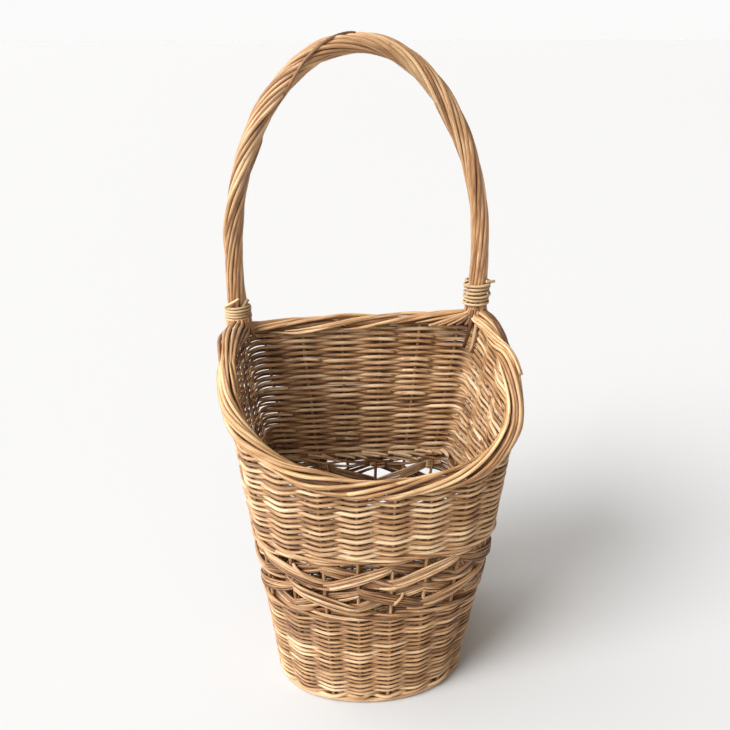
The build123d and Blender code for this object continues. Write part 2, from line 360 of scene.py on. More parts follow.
# A weaver drops outside the wall and rises inside it, by these amounts at these heights.
SHIFT_LEVELS, ROW_SHIFTS = (100, 200, 340), (0.6, 1.5, 1.15)
LEVEL_JITTER, DEPTH_JITTER = 0.22, 0.08  # unevenness of a row at the stakes, in height and in depth
END_TUCK, END_SHIFT = 1.5, 0.9          # a weaver's ends go inwards, and its start lies under its end
GATHER_BAY, GATHER_LEVEL = 3.6, 205.0   # the left back corner, from the top of the openwork up
LOOSE_REACH, LOOSE_RISE = 1.8, 20       # the rows stand apart there, over this many bays and this height
LOOSE_THIN = 0.34            # and their rods are thinner by this share
CORNER_PAINTED_SHADE, CORNER_SHADE_REACH = 0.16, 2.6     # painted shade: its rods are darker too, by this much, over this many bays, for the shade inside that corner


def bays_between(first, last):
    """Evenly spaced places from one bay to another."""
    return np.arange(first, last, 1 / STEPS)


def periodic(values, bays):
    """Values at the stakes, eased in between."""
    base = np.floor(bays).astype(int)
    part = ease(bays - base)
    return values[base % STAKES] * (1 - part) + values[(base + 1) % STAKES] * part


def loose(bays, level):
    """1 where the rows stand apart and 0 elsewhere."""
    across = np.clip(LOOSE_REACH - np.abs((bays + 2) % STAKES - 2 - GATHER_BAY), 0, 1)
    return across * np.clip((level - GATHER_LEVEL) / LOOSE_RISE, 0, 1)


def pass_stakes(bays):
    """1 where a rod passes in front of a stake and -1 where it passes behind, nearly straight in between."""
    return np.arcsin(BLUNT * np.cos(math.pi * bays)) / math.asin(BLUNT)


def weave_row(rods, number, levels, radii, shown_at=None, reach=WEAVE_OUT):
    """One row of randing: in front of one stake and behind the next, in several rods laid end to end.

    levels and radii are the row's height and its rods' radius at each stake; shown_at tells where it exists.
    """
    start = 2 * int(rng.integers(0, STAKES // 2)) + (number + 1) % 2
    done = 0
    jitter = rng.normal(0, LEVEL_JITTER, STAKES)
    depth = rng.normal(1, DEPTH_JITTER, STAKES)
    while done < STAKES:
        length = int(rng.choice(ROD_LENGTHS))
        if STAKES - done - length < min(ROD_LENGTHS):
            length = STAKES - done
        bays = bays_between(start + done - END, start + done + length + END)
        done += length
        level = periodic(levels, bays) + periodic(jitter, bays)
        swing = pass_stakes(bays + number)
        level = level - np.interp(level, SHIFT_LEVELS, ROW_SHIFTS) * (1 - loose(bays, level)) * swing
        near_start = np.clip(1 - (bays - bays[0]) / END, 0, 1)
        near_end = np.clip(1 - (bays[-1] - bays) / END, 0, 1)
        tuck = near_start + near_end
        out = reach * swing * periodic(depth, bays) - END_TUCK * tuck
        level = level + END_SHIFT * (near_end - near_start)
        radius = periodic(radii, bays) * (1 - LOOSE_THIN * loose(bays, level)) * rng.normal(1, 0.06)
        radius = radius * tapered(len(bays), 1.14, 0.86) * (1 - 0.25 * tuck)
        # Painted shade on the rods of the left back corner, where the inside lies in shade.
        shadow = np.clip(1 - np.abs(bays % STAKES - GATHER_BAY) / CORNER_SHADE_REACH, 0, 1)
        tone = rng.normal(0.5, 0.13) - CORNER_PAINTED_SHADE * shadow
        shown = np.ones(len(bays), bool) if shown_at is None else shown_at(bays, level)
        runs = np.flatnonzero(np.diff(np.concatenate([[0], shown.astype(int), [0]])))
        for first, last in zip(runs[::2], runs[1::2]):
            if last - first > 4:
                part = slice(first, last)
                rods.weave(bays[part], level[part], out[part], radius[part], tone[part], swing[part])


# ---------------------------------------------------------------- materials


def map_range(tree, value, source, target=(0.0, 1.0)):
    """A value brought from one range to another, and kept within it."""
    node = tree.nodes.new("ShaderNodeMapRange")
    for title, number in zip(("From Min", "From Max", "To Min", "To Max"), (*source, *target)):
        node.inputs[title].default_value = number
    tree.links.new(value, node.inputs["Value"])
    return node.outputs[0]


def colour_ramp(tree, value, stops, interpolation="LINEAR"):
    """Colours at places from 0 to 1 along a value."""
    node = tree.nodes.new("ShaderNodeValToRGB")
    node.color_ramp.interpolation = interpolation
    elements = node.color_ramp.elements
    elements[0].position, elements[1].position = stops[0][0], stops[-1][0]
    for position, _ in stops[1:-1]:
        elements.new(position)
    for element, (_, colour) in zip(elements, stops):
        element.color = (*colour, 1)
    tree.links.new(value, node.inputs[0])
    return node.outputs[0]


def colour_mix(tree, factor, first, second):
    """first where the factor is 0 and second where it is 1.  Each is a plain colour or a socket."""
    node = tree.nodes.new("ShaderNodeMix")
    node.data_type = "RGBA"
    tree.links.new(factor, node.inputs["Factor"])
    sockets = [socket for socket in node.inputs if socket.type == "RGBA"]
    for socket, colour in zip(sockets, (first, second)):
        if isinstance(colour, tuple):
            socket.default_value = (*colour, 1)
        else:
            tree.links.new(colour, socket)
    return next(socket for socket in node.outputs if socket.type == "RGBA")


STRAW, HONEY, BROWN = (0.66, 0.475, 0.285), (0.35, 0.18, 0.072), (0.068, 0.023, 0.007)
CUT_END = (0.62, 0.48, 0.31)


def willow(name, dark, middle, light, rough, bump=0.5):
    """Peeled and buff willow: streaks along the rod, a tone for each rod with painted light and painted shade
    on woven rods, faint patches and dark spots.
    """
    material = bpy.data.materials.new(name)
    material.use_nodes = True
    tree = material.node_tree
    nodes, links = tree.nodes, tree.links
    shader = nodes["Principled BSDF"]

    def attribute(title, output):
        node = nodes.new("ShaderNodeAttribute")
        node.attribute_name = title
        return node.outputs[output]

    def noise(scale, detail, roughness):
        """Noise along and across the grain."""
        mapping = nodes.new("ShaderNodeMapping")
        mapping.inputs["Scale"].default_value = scale
        links.new(grain, mapping.inputs["Vector"])
        node = nodes.new("ShaderNodeTexNoise")
        node.inputs["Scale"].default_value = 1.0
        node.inputs["Detail"].default_value = detail
        node.inputs["Roughness"].default_value = roughness
        links.new(mapping.outputs[0], node.inputs["Vector"])
        return node.outputs[0]

    def calculate(operation, *values):
        node = nodes.new("ShaderNodeMath")
        node.operation = operation
        for socket, value in zip(node.inputs, values):
            if isinstance(value, float):
                socket.default_value = value
            else:
                links.new(value, socket)
        return node.outputs[0]

    grain = attribute("grain", "Vector")
    streaks = noise((0.05, 1.5, 1.5), 3.0, 0.6)
    patches = noise((0.035, 0.12, 0.12), 2.0, 0.5)
    fibre = noise((0.35, 5.0, 5.0), 2.0, 0.6)
    spots = noise((0.09, 0.3, 0.3), 2.0, 0.5)

    value = calculate("MULTIPLY_ADD", streaks, 1.3, -0.65)
    # The tone attribute brings each rod's tone and the painted light and painted shade of the weave.
    value = calculate("ADD", value, attribute("tone", "Fac"))
    value = calculate("ADD", value, calculate("MULTIPLY_ADD", patches, 0.8, -0.4))
    colour = colour_ramp(tree, value, ((0.08, dark), (0.5, middle), (0.92, light)))
    spotted = map_range(tree, spots, (0.66, 0.78), (0.0, 0.55))
    colour = colour_mix(tree, spotted, colour, tuple(channel * 0.55 for channel in dark))
    colour = colour_mix(tree, attribute("cut", "Fac"), colour, CUT_END)
    links.new(colour, shader.inputs["Base Color"])

    gloss = map_range(tree, streaks, (0.25, 0.75), (rough - 0.12, rough + 0.16))
    links.new(gloss, shader.inputs["Roughness"])

    bumped = nodes.new("ShaderNodeBump")
    bumped.inputs["Strength"].default_value = bump
    bumped.inputs["Distance"].default_value = 0.0006
    links.new(calculate("MULTIPLY_ADD", fibre, 0.5, streaks), bumped.inputs["Height"])
    links.new(bumped.outputs[0], shader.inputs["Normal"])
    return material


weaver_willow = willow("weaver_willow", BROWN, HONEY, STRAW, 0.52)
bundle_willow = willow("bundle_willow", BROWN, HONEY, STRAW, 0.52)
stake_willow = willow("stake_willow", BROWN, (0.27, 0.13, 0.05), (0.5, 0.32, 0.16), 0.55)
border_willow = willow("border_willow", BROWN, (0.38, 0.19, 0.072), (0.66, 0.45, 0.24), 0.46)
handle_willow = willow("handle_willow", BROWN, (0.34, 0.165, 0.065), (0.62, 0.42, 0.23), 0.46)
cane = willow("cane", (0.22, 0.12, 0.05), (0.42, 0.275, 0.14), (0.62, 0.46, 0.27), 0.5, 0.35)

# ---------------------------------------------------------------- stakes

STAKE_START, STAKE_GAP = 3.0, 2.0       # from the floor to the stakes, and from them to the border's middle
STAKE_SWAY = 0.012           # unevenness of a stake, in bays


def make_stakes():
    """The uprights, from just above the floor to just under the middle of the border."""
    stakes = Rods("stakes", "stake", stake_nodes)
    count = 26
    for index in range(STAKES):
        top = float(rim(np.array(float(index)))) - STAKE_GAP
        sway = smooth(rng.normal(0, STAKE_SWAY, count), 4)
        path = wall(index + sway, np.linspace(STAKE_START, top, count))
        stakes.add(path, tapered(count, 1.9, 1.5), rng.normal(0.5, 0.12))
    stakes.finish(stake_willow)


# ---------------------------------------------------------------- foot

FOOT_LEVEL = 3.3             # centre of the three long rods round the very foot
FOOT_PAIR_LEVEL = 8.0        # centre of the pair of rods above them
FOOT_GAP = 2.6               # widest gap that the pair leaves


def make_foot():
    """Three long rods end to end round the foot, and a pair above them that cross between the stakes."""
    foot = Rods("foot_ring_willow", "weaver", ["foot_ring"])
    span = STAKES / 3
    for strand in range(3):
        bays = bays_between(strand * span - 0.5, (strand + 1) * span + 0.7)
        level = FOOT_LEVEL + 0.5 * np.sin(bays * 2.1 + strand)
        foot.add(wall(bays, level, 0.6), tapered(len(bays), 2.75, 2.35), 0.62)
    for strand in range(2):
        bays = bays_between(-0.5, STAKES - 0.4)
        swing = np.cos(math.pi * (bays + strand))
        gap = FOOT_GAP * np.abs(np.sin(math.pi * bays)) * np.clip(np.sin(bays * 1.3 + 1.0), 0, 1)
        level = FOOT_PAIR_LEVEL + gap + np.sin(math.pi * (bays + strand))
        foot.weave(bays, level, 3.0 * swing, 1.8, 0.55 + 0.1 * strand, swing)
    foot.finish(weaver_willow)


# ---------------------------------------------------------------- lower siding


def make_lower_siding():
    """Plain rows from the foot to the lower wale, some a little thicker than others."""
    lower = Rods("lower_siding_willow", "weaver", ["lower_siding"])
    start, top = FOOT_TOP + 4, lower_wale_low[2]
    count = round((top - start) / LOWER_ROW)
    thick = rng.normal(1, 0.07, (count, 1)) + rng.normal(0, 0.03, (count, STAKES))
    heights = np.cumsum(thick, axis=0)
    heights = start + (heights - thick / 2) / heights[-1] * (top - start)
    for number in range(count):
        radii = np.full(STAKES, WEAVER * LOWER_ROW * np.mean(thick[number]))
        weave_row(lower, number, heights[number], radii, reach=LOWER_WEAVE_OUT)
    lower.finish(weaver_willow)


# ---------------------------------------------------------------- wales

WALE_ENDS = (0, 8, 15, STAKES)          # stakes where one rod of a wale ends and the next begins
# A wale's rod repeats every three stakes: how far it stands out, and its share of the room above and below.
WALE_KEYS = (0, 0.4, 0.9, 1.5, 2.1, 2.6, 3.0)
WALE_OUTS = (-2.6, -1.0, 2.3, 2.9, 2.5, -1.0, -2.6)
WALE_RISES = (0.3, 0.9, 0.75, 0.1, -0.75, -0.9, -0.3)


def make_wale(name, node, low, high):
    """Three-rod wale: each rod goes over two stakes and behind one, with a slant like a rope."""
    rods = Rods(name, "weaver", [node])
    middle, room = (low + high) / 2, (high - low) / 2
    for strand in range(3):
        edge = strand * 1.1
        for first, last in zip(WALE_ENDS[:-1], WALE_ENDS[1:]):
            bays = bays_between(first + edge - END, last + edge + END)
            phase = (bays + strand) % 3
            out = smooth(np.interp(phase, WALE_KEYS, WALE_OUTS), 2)
            level = middle + smooth(0.75 * room * np.interp(phase, WALE_KEYS, WALE_RISES), 3)
            rods.weave(bays, level, out, tapered(len(bays), 1.7, 1.4), rng.normal(0.43, 0.12), out / 4)
    rods.finish(weaver_willow)


# ---------------------------------------------------------------- openwork band

BAND = BAND_HIGH - BAND_LOW
TIER_PLACES = (0.27, 0.73)   # middle of each tier of bundles, as a share of the band's height
BUNDLE_RISE = 0.37           # how far a bundle climbs or falls over two bays, as a share of the band's height
BUNDLE_RODS = 5
BUNDLE_TAIL = 0.3            # how far a bundle runs past its stakes, in bays
# How far out a bundle's rods stand along their length, over the outside and through the inside.
BUNDLE_KEYS = (-0.15, 0, 0.13, 0.5, 0.87, 1, 1.15)
OVER_OUTS = (-2.5, 0.9, 2.9, 3.0, 2.9, 0.9, -2.5)
UNDER_OUTS = (-2.5, 1.5, 1.0, -1.8, 1.0, 1.5, -2.5)
STRAYS = 6


def add_bundle(rods, stake, centre, rise, outs):
    """Straight rods laid side by side over two bays, closest together at their ends."""
    bays = bays_between(stake - BUNDLE_TAIL, stake + 2 + BUNDLE_TAIL)
    share = (bays - stake) / 2
    pitch = 1.9 + 0.9 * np.sin(math.pi * np.clip(share, 0, 1))
    bundle_tone = rng.normal(0.38, 0.06)
    for member in range(BUNDLE_RODS):
        level = centre + rise * (share - 0.5) + (member - (BUNDLE_RODS - 1) / 2) * pitch
        level = level + rng.normal(0, 0.35) + rng.normal(0, 0.8) * (share - 0.5)
        level = np.clip(level, BAND_LOW + 0.5, BAND_HIGH - 0.5)
        out = np.interp(share, BUNDLE_KEYS, outs) + rng.normal(0, 0.3)
        radius = tapered(len(bays), 1.3, 1.05) * rng.normal(1, 0.1)
        rods.weave(bays, level, out, radius, bundle_tone + rng.normal(0, 0.16), out / 3.2)


def add_stray(rods, bay, length, low, high):
    """A short rod laid aslant over the outside of the band, its ends tucked in."""
    count = 12
    share = np.linspace(0, 1, count)
    out = 1.0 + 3.2 * np.sin(math.pi * np.clip(share * 1.1, 0, 1)) ** 0.5
    path = wall(bay + length * share, low + (high - low) * share, out)
    rods.add(path, tapered(count, 1.7, 1.4), rng.normal(0.6, 0.1))


def make_openwork():
    """Two tiers of bundles that cross between the stakes, single rods along their edges, and a few strays."""
    lower = Rods("openwork_lower_willow", "bundle", ["zigzag_lower"])
    upper = Rods("openwork_upper_willow", "bundle", ["zigzag_upper"])
    for tier, (rods, place) in enumerate(zip((lower, upper), TIER_PLACES)):
        for stake in range(tier, STAKES, 2):
            centre = BAND_LOW + place * BAND + rng.normal(0, 0.9)
            rise = BUNDLE_RISE * BAND * rng.uniform(0.85, 1.15)
            slope = 1 if (stake // 4 + tier) % 2 else -1
            add_bundle(rods, stake, centre, slope * rise, OVER_OUTS)
            add_bundle(rods, stake, centre + rng.normal(0, 0.8), -slope * rise, UNDER_OUTS)
    for rods, place, shift in ((lower, 0.02, 0), (lower, 0.5, 1), (upper, 0.98, 1)):
        for stake in range(0, STAKES, 2):
            bays = bays_between(stake - 0.5, stake + 2.7)
            swing = np.cos(math.pi * (bays + shift))
            level = BAND_LOW + place * BAND + rng.normal(0, 0.8) + rng.normal(0, 1.2) * (bays - bays.mean())
            rods.weave(bays, level, 2.6 * swing, 1.4, rng.normal(0.42, 0.12), 0.8 * swing)
    for number in range(STRAYS):
        bay = number * STAKES / STRAYS + rng.uniform(0, 0.8)
        level = rng.uniform(BAND_LOW + 14, BAND_HIGH - 14)
        drop = rng.uniform(6, 13) * (1 if number % 3 else -1)
        rods = lower if number % 2 else upper
        add_stray(rods, bay, rng.uniform(0.25, 0.9), level + drop, level - drop)
    lower.finish(bundle_willow)
    upper.finish(bundle_willow)


# ---------------------------------------------------------------- upper siding

UPPER_ROWS = 62
SHORT_ROWS = 28              # under this row, two rows of every nine are short and lie only at the back
RIM_CLEARANCE = 3.5          # from the highest row up to the middle of the border


def under_rim(begins, bays, level):
    """Where a row is under the border and, if it is a short one, past its beginning on the way round."""
    return (level < rim(bays) - RIM_CLEARANCE) & (np.abs(turn_at(bays)) > begins - 0.02)


def add_inner_ends(rods):
    """Pale ends of short rods that stand out of the inside of the back, just above the openwork."""
    count = 9
    share = np.linspace(0, 1, count)
    for bay in np.concatenate([np.arange(-3.2, 3.4, 0.45), np.arange(-2.9, 3.1, 1.3)]):
        drop = rng.uniform(2, 8)
        level = UPPER_START + rng.uniform(4, 9) - drop * share
        bays = STAKES + bay - 0.75 * share * rng.uniform(0.7, 1.2)
        rods.add(wall(bays, level, -3.0 - 4.0 * share ** 2), tapered(count, 1.7, 1.3), rng.normal(0.75, 0.12))


def make_upper_siding():
    """Plain rows above the openwork, thicker at the back, with short rows there to follow the mouth."""
    upper = Rods("upper_siding_willow", "weaver", ["upper_siding"])
    back = np.abs(turn_at(np.arange(STAKES)))
    row = FRONT_ROW + (BACK_ROW - FRONT_ROW) * np.clip((back - 0.3) / 0.4, 0, 1)
    radii = WEAVER * row * (1 + 0.08 * np.abs(np.clip((back - 0.5) / 0.3, -1, 1)))
    level = np.full(STAKES, UPPER_START)
    for number in range(UPPER_ROWS):
        short = number % 9 in (7, 8) and number < SHORT_ROWS
        begins = 0.34 + 0.012 * number + 0.05 * (number % 4) if short else -1
        height = row * rng.normal(1, 0.04) * np.clip((back - begins) / 0.06, 0, 1)
        weave_row(upper, number, level + height / 2, radii, partial(under_rim, begins))
        level = level + height
    add_inner_ends(upper)
    upper.finish(weaver_willow)


# ---------------------------------------------------------------- base

STICKS, STICK_RADIUS = 7, 2.6
BASE_ROW, BASE_ROD_RADIUS = 3.5, 1.75   # from one rod of the base's weave to the next, and their radius
BASE_WEAVE_OUT = 3.4         # how far a rod stands over or under the sticks' middle


def make_base():
    """Sticks from front to back, and rods woven across them."""
    sticks = Rods("base_sticks_willow", "stake", ["base_sticks"])
    weave = Rods("base_weave_willow", "weaver", ["base_weave"])
    outline = half_outline(FOOT_TOP)
    curved = outline[:-BACK_POINTS]
    bow = outline[:outline[:, 0].argmax() + 1]
    base_level = (base_low[2] + base_high[2]) / 2
    pitch = (base_high[0] - base_low[0]) / 7.6
    for index in range(STICKS):
        x = (index - (STICKS - 1) / 2) * pitch
        front = np.interp(abs(x), bow[:, 0], bow[:, 1]) + 5
        y = np.linspace(front, BACK_Y - 9, 20)
        points = np.stack([np.full(20, x), y, np.full(20, base_level)], 1)
        sticks.add(points, STICK_RADIUS, rng.normal(0.4, 0.1))
    for number, y in enumerate(np.arange(outline[0, 1] + 9, BACK_Y - 9, BASE_ROW)):
        reach = np.interp(y, curved[:, 1], curved[:, 0]) - 4
        x = np.linspace(-reach, reach, 60)
        swing = np.cos(math.pi * (x / pitch + number))
        points = np.stack([x, np.full(60, y + rng.normal(0, 0.2)), base_level + BASE_WEAVE_OUT * swing], 1)
        weave.add(points, BASE_ROD_RADIUS, sides=6)
    sticks.finish(stake_willow)
    weave.finish(weaver_willow)


# ---------------------------------------------------------------- border

BORDER_RODS = 44
BORDER_CORE, BORDER_ROD = 4.2, 1.85     # radii
CORE_TONE, BORDER_TONE = 0.15, 0.61
BORDER_TURN = 6.4            # bays in a full turn of the border's rods
BORDER_START, BORDER_SWEEP = -70, 280   # where a rod starts round the border, and how far round it goes
BORDER_REACH = 7.0           # from the border's centre line to the middle of its rods
BORDER_TAPER = 24            # length of a rod's thin end


def round_border(bay, angle, distance):
    """Points beside the border's centre line; angle 0 is outwards, 90 up and 180 inwards."""
    out = outward(bay)
    ahead = unit(border_line(bay + 0.02) - border_line(bay - 0.02))
    up = np.cross(out, ahead)
    up *= np.sign(up[..., 2:3])
    angle = np.radians(angle)[..., None]
    distance = np.broadcast_to(np.asarray(distance, float), bay.shape)[..., None]
    return border_line(bay) + distance * (np.cos(angle) * out + np.sin(angle) * up)


def make_border():
    """Rolled border: a dark core, hidden by rods that each wind most of the way round it."""
    border = Rods("border_willow", "border", ["border"])
    border.add(border_line(np.linspace(0, STAKES, 239, endpoint=False)), BORDER_CORE, CORE_TONE, sides=10)
    bulge = rng.normal(0, 0.5, STAKES)
    for index in range(BORDER_RODS):
        start = index * STAKES / BORDER_RODS + rng.normal(0, 0.16)
        sweep = BORDER_SWEEP + rng.normal(0, 16)
        length = BORDER_TURN * sweep / 360
        bays = np.arange(start, start + length, 0.11)
        share = (bays - start) / length
        angle = BORDER_START + rng.normal(0, 9) + sweep * share + 7 * np.sin(share * 5 + index)
        distance = BORDER_REACH + periodic(bulge, bays) + 0.5 * np.sin(4.2 * share * math.pi + index)
        distance = distance + rng.normal(0, 0.4)
        body = np.clip(np.minimum(share, 1 - share) * length * BAY / BORDER_TAPER, 0, 1)
        radius = BORDER_ROD * rng.normal(1, 0.1) * (0.3 + 0.7 * body ** 0.7) * (1.12 - 0.28 * share)
        path = round_border(bays, angle, distance - 1.6 * (1 - body))
        border.add(path, radius, rng.normal(BORDER_TONE, 0.13))
    border.finish(border_willow)


# ---------------------------------------------------------------- handle

HANDLE_RADIUS, BOW_RADIUS, ROPE_ROD = 9.5, 5.4, 1.9
BOW_TONE, ROPE_TONE = 0.1, 0.57
LEG_FOOT = rope_low[2]
LEG_TOP = LEG_FOOT + 56      # the legs are straight up to here
HANDLE_TOP = rope_high[2] - HANDLE_RADIUS
LEFT_X, RIGHT_X = (left_low[0] + left_high[0]) / 2, (right_low[0] + right_high[0]) / 2
BOW_X = (LEFT_X + RIGHT_X) / 2
BOW_HALF = (rope_high[0] - rope_low[0]) / 2 - HANDLE_RADIUS
LEG_Y = BACK_Y - 12          # middle of the legs at their feet
LEAN = 15.0 / (HANDLE_TOP - LEG_FOOT)   # the handle leans forwards by 15 mm over its height
ROPE_RODS = 13
ROPE_REACH = 7.2             # from the middle of the handle to that of its rods
FLARE, FLARE_LENGTH = 1.5, 34           # the rods stand further out at the feet
# The twist is tight over the left and the top, and eases off down the right leg.
TWIST_PLACES, TWIST_RATES = (0, 0.08, 0.2, 0.6, 0.85, 1), (0.35, 1.0, 1.6, 1.8, 0.8, 0.3)


def handle_line(bow_points=160, leg_points=16):
    """Centre line of the handle, from the left foot to the right, and the length up to each point."""
    angles = np.linspace(math.pi, 0, bow_points)
    x = BOW_X + BOW_HALF * np.cos(angles)
    legs = np.linspace(0, 1, leg_points, endpoint=False)
    left_leg, right_leg = LEFT_X + (x[0] - LEFT_X) * legs, RIGHT_X + (x[-1] - RIGHT_X) * legs[::-1]
    leg_heights = LEG_FOOT + (LEG_TOP - LEG_FOOT) * legs
    x = np.concatenate([left_leg, x, right_leg])
    z = np.concatenate([leg_heights, LEG_TOP + (HANDLE_TOP - LEG_TOP) * np.sin(angles), leg_heights[::-1]])
    line = smooth(np.stack([x, LEG_Y - LEAN * (z - LEG_FOOT), z], 1), 12)
    lengths = lengths_along(line)
    even = np.linspace(0, lengths[-1], len(line))
    return resample(line, lengths, even), even


BOW_LINE, BOW_LENGTHS = handle_line()
BOW_STEP = unit(np.gradient(BOW_LINE, axis=0))
BOW_FRONT = unit(np.array([0.0, -1.0, 0.0]) + BOW_STEP * BOW_STEP[:, 1:2])
BOW_SIDE = np.cross(BOW_STEP, BOW_FRONT)


def round_handle(angle, distance, part=slice(None)):
    """Points beside a part of the handle's centre line; angle 0 is to the front."""
    angle = np.radians(angle)[:, None]
    distance = np.broadcast_to(np.asarray(distance, float), angle.shape[:1])[:, None]
    return BOW_LINE[part] + distance * (np.cos(angle) * BOW_FRONT[part] + np.sin(angle) * BOW_SIDE[part])


def part_of_handle(first, last):
    """The points of the handle between two shares of their number."""
    return slice(round(len(BOW_LINE) * first), round(len(BOW_LINE) * last))


def make_handle():
    """A bow with rods wound round it, one dark rod that crosses them at the top, and three looser rods."""
    core = Rods("handle_core_willow", "handle", ["handle_bow"])
    core.add(BOW_LINE, BOW_RADIUS, BOW_TONE, sides=10)
    core.finish(handle_willow)
    rope = Rods("handle_rope_willow", "handle", ["handle_rope"])
    count, length = len(BOW_LINE), BOW_LENGTHS[-1]
    rate = np.interp(BOW_LENGTHS / length, TWIST_PLACES, TWIST_RATES)
    twist = np.append(0, np.cumsum((rate[1:] + rate[:-1]) / 2 * np.diff(BOW_LENGTHS)))
    from_foot = np.minimum(BOW_LENGTHS, length - BOW_LENGTHS)
    reach = ROPE_REACH + FLARE * np.clip(1 - from_foot / FLARE_LENGTH, 0, 1) ** 2
    for index in range(ROPE_RODS):
        wander = 3 * smooth(rng.normal(0, 5, count), 60)
        distance = reach + 2.2 * smooth(rng.normal(0, 1, count), 60)
        radius = ROPE_ROD * rng.normal(1, 0.08) * (1 + 0.1 * np.sin(BOW_LENGTHS / 60 + index))
        path = round_handle(twist + 360 * index / ROPE_RODS + wander, distance)
        rope.add(path, radius, rng.normal(ROPE_TONE, 0.14), sides=10)
    part = part_of_handle(0.35, 0.5)
    share = np.linspace(0, 1, part.stop - part.start)
    distance = ROPE_REACH + 2.4 * np.sin(math.pi * share) ** 0.5
    rope.add(round_handle(70 - 150 * share, distance, part), 1.6, 0.25)
    for first, angle in ((0.62, 40), (0.70, 130), (0.12, -60)):
        part = part_of_handle(first, first + 0.2)
        places = np.arange(part.stop - part.start)
        body = np.clip(np.minimum(places, places[::-1]) / 5, 0, 1)
        path = round_handle(angle + twist[part] - twist[part.start], 6.4 + 2.4 * body, part)
        rope.add(path, 0.7 + 1.1 * body, rng.normal(0.4, 0.1))
    rope.finish(handle_willow)


# ---------------------------------------------------------------- bindings

CANE_RADIUS, CANE_TONE = 1.35, 0.55
CANE_POINTS = 28             # points in each turn


def binding(side, low, high, turns, pitch, spread, lift, start):
    """Thin cane wound round the foot of a leg; start is its first angle round the leg, in radians."""
    rods = Rods(f"{side}_binding_cane", "cane", [f"{side}_binding"])
    middle = (low + high) / 2
    angle = np.linspace(0, 2 * math.pi * turns, int(turns * CANE_POINTS)) + start
    rise = pitch * angle / (2 * math.pi) + 0.35 * np.sin(angle * 0.9 + np.floor(angle / (2 * math.pi)))
    rise -= rise[0]
    distance = HANDLE_RADIUS + 2.6 + spread * np.sin(angle * 0.37 + 1) + 0.25 * np.cos(2 * angle)
    x = middle[0] + distance * np.cos(angle)
    y = middle[1] - LEAN * rise + distance * np.sin(angle)
    rods.add(np.stack([x, y, low[2] + lift + rise], 1), CANE_RADIUS, CANE_TONE)
    return rods


def add_peg(rods, start, end, radius, sag, tone=None):
    """Short rod between two points, with a slight bow to the front."""
    share = np.linspace(0, 1, 9)[:, None]
    start, end = np.array(start), np.array(end)
    bend = np.array([0.0, -sag, 0.0]) * np.sin(math.pi * share)
    rods.add(start + (end - start) * share + bend, radius, tone)


def make_bindings():
    """Close turns on the left leg and open ones on the right, with the canes' ends left sticking out."""
    left = binding("left", left_low, left_high, turns=6.6, pitch=2.95, spread=0.3, lift=-5.0, start=2.4)
    right = binding("right", right_low, right_high, turns=6.4, pitch=4.0, spread=0.9, lift=8.5, start=0.6)
    x, y, z = LEFT_X, LEG_Y, left_low[2] + 16
    add_peg(left, (x - 12, y - 9, z - 1), (x + 3, y - 13, z + 8), 1.3, 1.5, 0.75)
    add_peg(left, (x + 6, y - 9, z - 2), (x + 11, y - 6, z + 5), 1.8, 0.5, 0.3)
    x, z = RIGHT_X, right_low[2] + 33
    add_peg(right, (x + 7, y - 11, z + 2), (x + 16, y - 9, z + 1.5), 1.5, 0.3, 0.45)
    add_peg(right, (x - 15, y - 9, z - 3), (x - 5, y - 12, z - 3), 1.4, 0.3, 0.5)
    left.finish(cane)
    right.finish(cane)


# ---------------------------------------------------------------- rods that leave the handle's feet

SPLAY_POINTS = 22            # points of a splayed rod along the border
SPLAY_START = 6.8            # from the middle of the leg to a splayed rod's top
SPLAY_REACH, SPLAY_SETTLE = 11.2, 4.6   # from the border's middle to the rod, and how much closer it ends
# The rods that splay from each foot: angle round the leg, angle round the border, and reach along it in bays.
LEFT_SPLAY = (
    (190, -5, 2.8), (212, 20, 3.3), (232, 44, 3.0), (250, 68, 3.5),
    (268, 92, 3.1), (288, 116, 3.4), (308, 138, 2.8), (328, 160, 2.5),
)
RIGHT_SPLAY = ((345, -5, 2.5), (325, 18, 3.0), (305, 42, 2.6), (285, 66, 2.9))
FAN_RODS, FAN_POINTS = 6, 20
TAIL_ROD = 1.9               # radius of the rods that fan out and of those that go down inside


def bay_of_leg(x):
    """The bay where the border passes closest to a leg of the handle."""
    bays = np.arange(0, STAKES, 0.05)
    gaps = np.linalg.norm(border_line(bays)[:, :2] - (x, LEG_Y), axis=1)
    return bays[gaps.argmin()]


def add_splayed(rods, leg_x, leg_bay, direction, around, angle, reach):
    """A rod that leaves the leg at an angle round it and settles on to the border, running along it."""
    around = math.radians(around)
    away = np.array([math.cos(around), math.sin(around), 0.0])
    top = np.array([leg_x, LEG_Y, LEG_FOOT + 9]) + SPLAY_START * away
    low = top + 1.5 * away - (0, 0, 7)
    share = np.linspace(0, 1, SPLAY_POINTS)
    bays = leg_bay + direction * np.linspace(0.35, reach, SPLAY_POINTS)
    distance = SPLAY_REACH - SPLAY_SETTLE * np.clip((share - 0.5) / 0.5, 0, 1)
    along = round_border(bays, angle + direction * 35 * share, distance)
    path = smooth(np.concatenate([[top, low], along]), 3)
    radius = 1.95 * np.interp(np.linspace(0, 1, len(path)), [0, 0.6, 1], [1, 0.95, 0.4])
    rods.add(path, radius)


